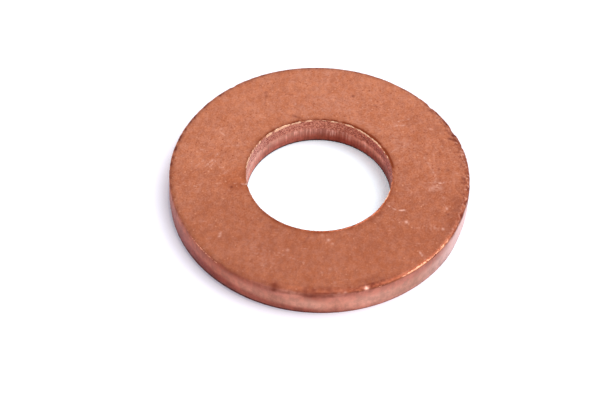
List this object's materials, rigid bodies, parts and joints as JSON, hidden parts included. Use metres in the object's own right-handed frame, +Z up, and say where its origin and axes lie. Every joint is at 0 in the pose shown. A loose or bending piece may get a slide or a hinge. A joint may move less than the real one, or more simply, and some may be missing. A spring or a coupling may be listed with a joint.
{
  "type": "drain plug seal ring",
  "caption": "Flat copper seal ring, punched from sheet, that is crushed between a drain plug and its boss.",
  "frame": {"origin": "centre of the bore, on the lower face that the ring lies on", "axes": "+Z up along the axis of the bore, towards the face with the burr; the ring is round, so X and Y are free"},
  "size_m": [0.0206, 0.0206, 0.0021],
  "materials": {
    "copper": null
  },
  "bodies": {
    "root": {"seal_ring": "copper"}
  },
  "joints": []
}
